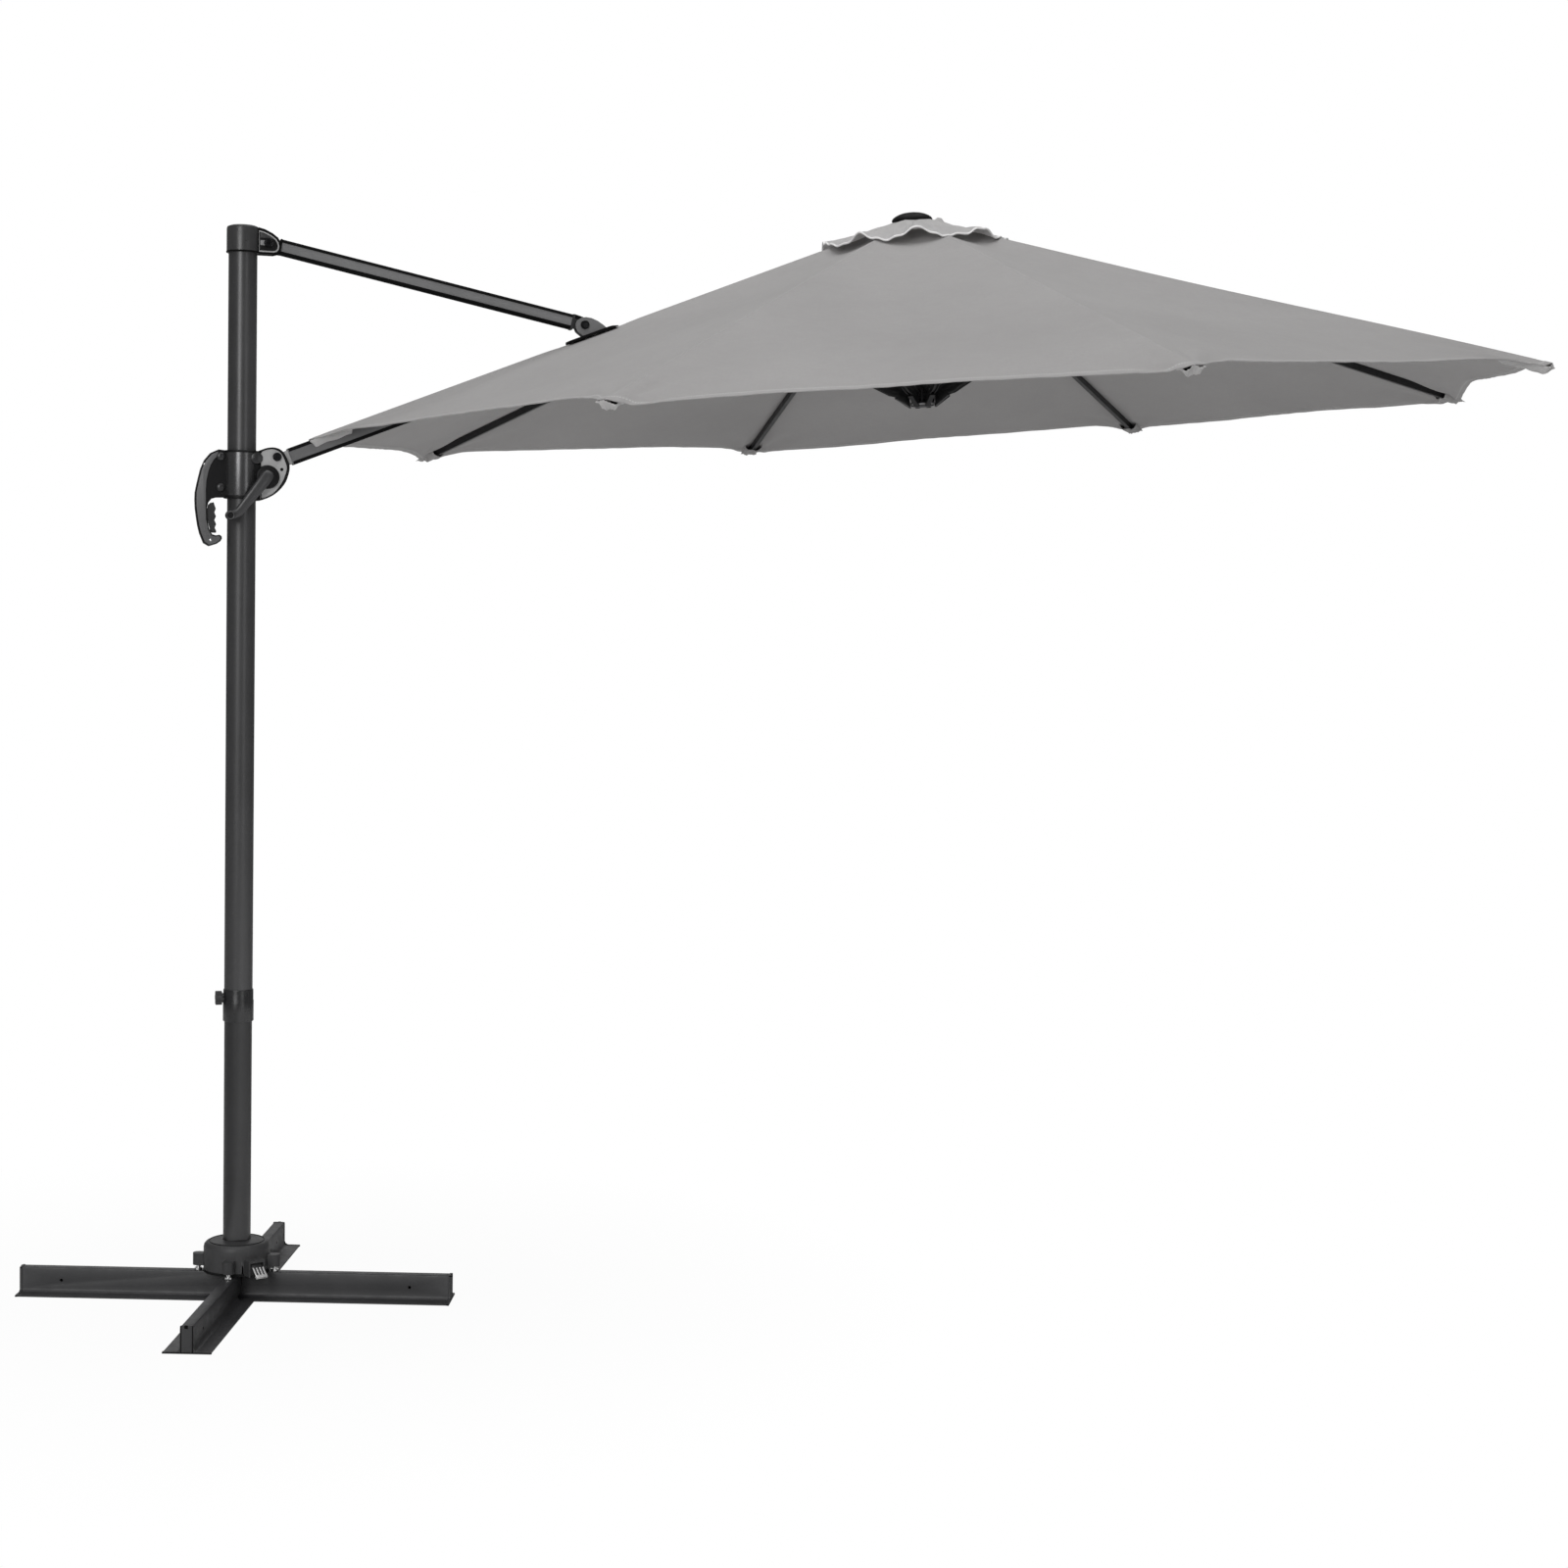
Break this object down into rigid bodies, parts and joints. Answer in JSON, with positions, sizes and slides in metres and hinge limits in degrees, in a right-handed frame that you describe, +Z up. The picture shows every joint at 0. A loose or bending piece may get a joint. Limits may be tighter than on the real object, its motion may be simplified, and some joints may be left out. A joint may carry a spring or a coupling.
{
  "type": "cantilever parasol",
  "caption": "Cantilever parasol: octagonal cloth canopy on a side arm that slides on a swivelling mast over a low cross base, with crank, strut, lock pedal and release handle.",
  "frame": {"origin": "On the mast axis at ground level, at the centre of the cross base", "axes": "+Z up the mast, +X towards the canopy along the arm, +Y to the left of the arm seen from the mast"},
  "size_m": [3.6289, 3, 2.58],
  "materials": {
    "steel_paint": "satin dark grey powder coat on steel",
    "alu_paint": "satin dark grey powder coat on aluminium",
    "dark_plastic": "moulded near-black plastic, fine grain",
    "light_grey_metal": "light grey coated cast cover",
    "mid_grey_metal": "mid grey coated steel bracket",
    "black_bolt": "black coated bolts",
    "bright_steel": "bright zinc-plated steel",
    "canopy_cloth": "mid grey woven polyester"
  },
  "bodies": {
    "base": {"beam_long": "steel_paint", "beam_cross": "steel_paint", "beam_cap_1": "dark_plastic", "beam_cap_2": "dark_plastic", "beam_cap_3": "dark_plastic", "beam_cap_4": "dark_plastic", "centre_plate": "steel_paint", "base_housing": "dark_plastic", "base_bolt_1": "bright_steel", "base_bolt_2": "bright_steel", "base_bolt_3": "bright_steel", "base_bolt_4": "bright_steel"},
    "pedal": {"lock_pedal": "bright_steel"},
    "mast": {"lower_mast_tube": "steel_paint", "upper_mast_tube": "steel_paint", "joint_collar": "dark_plastic", "mast_top_cap": "dark_plastic", "strut_top_bolt": "black_bolt"},
    "knob": {"clamp_knob": "dark_plastic"},
    "slider": {"slider_housing": "dark_plastic", "crank_cover_plate": "light_grey_metal", "arm_pivot_bolt": "black_bolt"},
    "lever": {"release_lever": "dark_plastic"},
    "crank": {"crank_handle": "alu_paint", "cord_spool": "dark_plastic"},
    "grip": {"crank_grip": "dark_plastic"},
    "strut": {"strut_tube": "alu_paint", "strut_lower_end": "dark_plastic"},
    "arm": {"arm_tube": "alu_paint", "arm_hub_fitting": "dark_plastic", "arm_root_fitting": "light_grey_metal", "strut_bracket": "mid_grey_metal", "strut_lower_bolt": "black_bolt", "canopy_panel_1": "canopy_cloth"},
    "hub": {"hub": "dark_plastic", "finial": "dark_plastic", "vent_flap": "canopy_cloth"},
    "rib_2_body": {"rib_2": "alu_paint", "canopy_panel_2": "canopy_cloth"},
    "rib_3_body": {"rib_3": "alu_paint", "canopy_panel_3": "canopy_cloth"},
    "rib_4_body": {"rib_4": "alu_paint", "canopy_panel_4": "canopy_cloth"},
    "rib_5_body": {"rib_5": "alu_paint", "canopy_panel_5": "canopy_cloth"},
    "rib_6_body": {"rib_6": "alu_paint", "canopy_panel_6": "canopy_cloth"},
    "rib_7_body": {"rib_7": "alu_paint", "canopy_panel_7": "canopy_cloth"},
    "rib_8_body": {"rib_8": "alu_paint", "canopy_panel_8": "canopy_cloth"},
    "stretcher_1_body": {"stretcher_1": "alu_paint"},
    "stretcher_2_body": {"stretcher_2": "alu_paint"},
    "stretcher_3_body": {"stretcher_3": "alu_paint"},
    "stretcher_4_body": {"stretcher_4": "alu_paint"},
    "stretcher_5_body": {"stretcher_5": "alu_paint"},
    "stretcher_6_body": {"stretcher_6": "alu_paint"},
    "stretcher_7_body": {"stretcher_7": "alu_paint"},
    "stretcher_8_body": {"stretcher_8": "alu_paint"},
    "runner_body": {"runner": "dark_plastic"}
  },
  "joints": [
    {"name": "mast_swivel", "type": "hinge", "parent": "base", "child": "mast", "pos_m": [0, 0, 0.1], "axis": [0, 0, 1], "continuous": true},
    {"name": "pedal_press", "type": "hinge", "parent": "base", "child": "pedal", "pos_m": [0.03222, -0.07974, 0.087], "axis": [0.9272, 0.3746, 0], "range_deg": [0, 12], "stiffness_Nm_per_rad": 1.5, "springref_deg": -8.59},
    {"name": "clamp_knob_turn", "type": "hinge", "parent": "mast", "child": "knob", "pos_m": [-0.045, 0, 0.694], "axis": [-1, 0, 0], "continuous": true},
    {"name": "arm_height", "type": "slide", "parent": "mast", "child": "slider", "axis": [0, 0, 1], "range_m": [-0.14, 0.06]},
    {"name": "arm_pivot", "type": "hinge", "parent": "slider", "child": "arm", "pos_m": [0.0755, 0, 1.929], "axis": [0, -1, 0], "range_deg": [-1.7, 3.8]},
    {"name": "strut_pivot", "type": "hinge", "parent": "mast", "child": "strut", "pos_m": [0.054, 0, 2.409], "axis": [0, -1, 0], "range_deg": [-7.6, 3.3]},
    {"name": "release_lever_squeeze", "type": "hinge", "parent": "slider", "child": "lever", "pos_m": [-0.068, 0, 1.8185], "axis": [0, 1, 0], "range_deg": [0, 7], "stiffness_Nm_per_rad": 1, "springref_deg": -11.46},
    {"name": "canopy_fold", "type": "hinge", "parent": "arm", "child": "hub", "pos_m": [1.56946, 0, 2.53738], "axis": [0, 1, 0], "range_deg": [0, 60], "deforming": ["canopy_panel_1", "canopy_panel_2", "canopy_panel_3", "canopy_panel_4", "canopy_panel_5", "canopy_panel_6", "canopy_panel_7", "canopy_panel_8", "vent_flap"]},
    {"name": "stretcher_1_hinge", "type": "hinge", "parent": "arm", "child": "stretcher_1_body", "pos_m": [1.16, 0, 2.32584], "axis": [0, -1, 0], "range_deg": [-115.84, 0.5]},
    {"name": "rib_2_hinge", "type": "hinge", "parent": "hub", "child": "rib_2_body", "pos_m": [1.58114, 0.02828, 2.53825], "axis": [-0.7051, -0.7071, -0.0528], "range_deg": [-0.5, 60.5]},
    {"name": "stretcher_2_hinge", "type": "hinge", "parent": "rib_2_body", "child": "stretcher_2_body", "pos_m": [1.29158, 0.33002, 2.36434], "axis": [-0.7051, -0.7071, -0.0528], "range_deg": [-110.29, 0.5]},
    {"name": "rib_3_hinge", "type": "hinge", "parent": "hub", "child": "rib_3_body", "pos_m": [1.60935, 0.04, 2.54036], "axis": [-0.9972, 0, -0.0746], "range_deg": [-0.5, 60.5]},
    {"name": "stretcher_3_hinge", "type": "hinge", "parent": "rib_3_body", "child": "stretcher_3_body", "pos_m": [1.62068, 0.46671, 2.38897], "axis": [-0.9972, 0, -0.0746], "range_deg": [-110.29, 0.5]},
    {"name": "rib_4_hinge", "type": "hinge", "parent": "hub", "child": "rib_4_body", "pos_m": [1.63755, 0.02828, 2.54248], "axis": [-0.7051, 0.7071, -0.0528], "range_deg": [-0.5, 60.5]},
    {"name": "stretcher_4_hinge", "type": "hinge", "parent": "rib_4_body", "child": "stretcher_4_body", "pos_m": [1.94977, 0.33002, 2.4136], "axis": [-0.7051, 0.7071, -0.0528], "range_deg": [-110.29, 0.5]},
    {"name": "rib_5_hinge", "type": "hinge", "parent": "hub", "child": "rib_5_body", "pos_m": [1.64924, 0, 2.54335], "axis": [0, 1, 0], "range_deg": [-0.5, 60.5]},
    {"name": "stretcher_5_hinge", "type": "hinge", "parent": "rib_5_body", "child": "stretcher_5_body", "pos_m": [2.08609, 0, 2.4238], "axis": [0, 1, 0], "range_deg": [-110.29, 0.5]},
    {"name": "rib_6_hinge", "type": "hinge", "parent": "hub", "child": "rib_6_body", "pos_m": [1.63755, -0.02828, 2.54248], "axis": [0.7051, 0.7071, 0.0528], "range_deg": [-0.5, 60.5]},
    {"name": "stretcher_6_hinge", "type": "hinge", "parent": "rib_6_body", "child": "stretcher_6_body", "pos_m": [1.94977, -0.33002, 2.4136], "axis": [0.7051, 0.7071, 0.0528], "range_deg": [-110.29, 0.5]},
    {"name": "rib_7_hinge", "type": "hinge", "parent": "hub", "child": "rib_7_body", "pos_m": [1.60935, -0.04, 2.54036], "axis": [0.9972, 0, 0.0746], "range_deg": [-0.5, 60.5]},
    {"name": "stretcher_7_hinge", "type": "hinge", "parent": "rib_7_body", "child": "stretcher_7_body", "pos_m": [1.62068, -0.46671, 2.38897], "axis": [0.9972, 0, 0.0746], "range_deg": [-110.29, 0.5]},
    {"name": "rib_8_hinge", "type": "hinge", "parent": "hub", "child": "rib_8_body", "pos_m": [1.58114, -0.02828, 2.53825], "axis": [0.7051, -0.7071, 0.0528], "range_deg": [-0.5, 60.5]},
    {"name": "stretcher_8_hinge", "type": "hinge", "parent": "rib_8_body", "child": "stretcher_8_body", "pos_m": [1.29158, -0.33002, 2.36434], "axis": [0.7051, -0.7071, 0.0528], "range_deg": [-110.29, 0.5]},
    {"name": "runner_hinge", "type": "hinge", "parent": "stretcher_5_body", "child": "runner_body", "pos_m": [1.67123, 0, 2.14227], "axis": [0, 1, 0], "range_deg": [-0.5, 50.29]},
    {"name": "crank_turn", "type": "hinge", "parent": "slider", "child": "crank", "pos_m": [0.0546, 0, 1.883], "axis": [0, 1, 0], "range_deg": [-2, 1802]},
    {"name": "crank_grip_spin", "type": "hinge", "parent": "crank", "child": "grip", "pos_m": [-0.032, -0.06, 1.793], "axis": [0, -1, 0], "continuous": true}
  ],
  "couplings": [
    {"joint": "arm_pivot", "follows": "arm_height", "rad_per_m": -0.46062},
    {"joint": "strut_pivot", "follows": "arm_height", "rad_per_m": 0.92194},
    {"joint": "stretcher_1_hinge", "follows": "canopy_fold", "ratio": -1.9223},
    {"joint": "rib_2_hinge", "follows": "canopy_fold", "ratio": 1},
    {"joint": "stretcher_2_hinge", "follows": "canopy_fold", "ratio": -1.8299},
    {"joint": "rib_3_hinge", "follows": "canopy_fold", "ratio": 1},
    {"joint": "stretcher_3_hinge", "follows": "canopy_fold", "ratio": -1.8299},
    {"joint": "rib_4_hinge", "follows": "canopy_fold", "ratio": 1},
    {"joint": "stretcher_4_hinge", "follows": "canopy_fold", "ratio": -1.8299},
    {"joint": "rib_5_hinge", "follows": "canopy_fold", "ratio": 1},
    {"joint": "stretcher_5_hinge", "follows": "canopy_fold", "ratio": -1.8299},
    {"joint": "rib_6_hinge", "follows": "canopy_fold", "ratio": 1},
    {"joint": "stretcher_6_hinge", "follows": "canopy_fold", "ratio": -1.8299},
    {"joint": "rib_7_hinge", "follows": "canopy_fold", "ratio": 1},
    {"joint": "stretcher_7_hinge", "follows": "canopy_fold", "ratio": -1.8299},
    {"joint": "rib_8_hinge", "follows": "canopy_fold", "ratio": 1},
    {"joint": "stretcher_8_hinge", "follows": "canopy_fold", "ratio": -1.8299},
    {"joint": "runner_hinge", "follows": "canopy_fold", "ratio": 0.82987},
    {"joint": "crank_turn", "follows": "canopy_fold", "ratio": 30}
  ]
}
